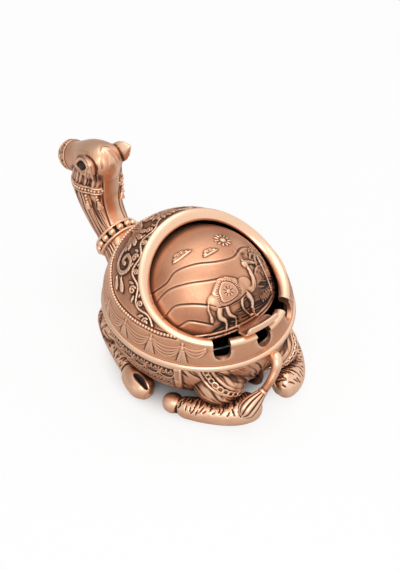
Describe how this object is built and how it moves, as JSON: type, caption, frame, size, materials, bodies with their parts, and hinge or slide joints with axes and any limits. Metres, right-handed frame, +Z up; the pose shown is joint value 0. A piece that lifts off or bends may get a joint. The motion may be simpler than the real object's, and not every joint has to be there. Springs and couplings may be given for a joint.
{
  "type": "camel incense burner",
  "caption": "Kneeling camel burner in antique copper: bowl body, lift-off hood with open rests, lid that rolls back under the hood, loose fire bowl.",
  "frame": {"origin": "on the ground, in the middle of the flat underside of the belly", "axes": "+Z up, +Y towards the camel's head, +X towards the camel's right side"},
  "size_m": [0.1028, 0.182, 0.093],
  "materials": {
    "copper": "satin antique copper with dark patina in the recesses",
    "bowl_steel": "plain pressed steel",
    "fixings": "plain screws and washers"
  },
  "bodies": {
    "body": {"body_shell": "copper", "hind_leg_left": "copper", "hind_leg_right": "copper", "fore_leg_left": "copper", "fore_leg_right": "copper", "neck_and_head": "copper", "neck_collar": "copper", "tail": "copper", "hind_leg_screw_left": "fixings", "hind_leg_screw_right": "fixings", "fore_leg_screw_left": "fixings", "fore_leg_screw_right": "fixings", "neck_screw": "fixings", "neck_washer": "fixings", "tail_screw": "fixings"},
    "hood": {"hood_shell": "copper", "pivot_screw_left": "fixings", "pivot_screw_right": "fixings", "pivot_washer_left": "fixings", "pivot_washer_right": "fixings"},
    "lid": {"rolling_lid": "copper", "thumb_tab": "copper", "tab_rivet_left": "copper", "tab_rivet_right": "copper"},
    "bowl": {"fire_bowl": "bowl_steel"}
  },
  "joints": [
    {"name": "hood_lift", "type": "slide", "parent": "body", "child": "hood", "axis": [0, 0, 1], "range_m": [0, 0.06]},
    {"name": "lid_roll", "type": "hinge", "parent": "hood", "child": "lid", "pos_m": [0, -0.0015, 0.039], "axis": [-1, 0, 0], "range_deg": [0, 92]},
    {"name": "bowl_lift", "type": "slide", "parent": "body", "child": "bowl", "axis": [0, 0, 1], "range_m": [0, 0.018]}
  ]
}
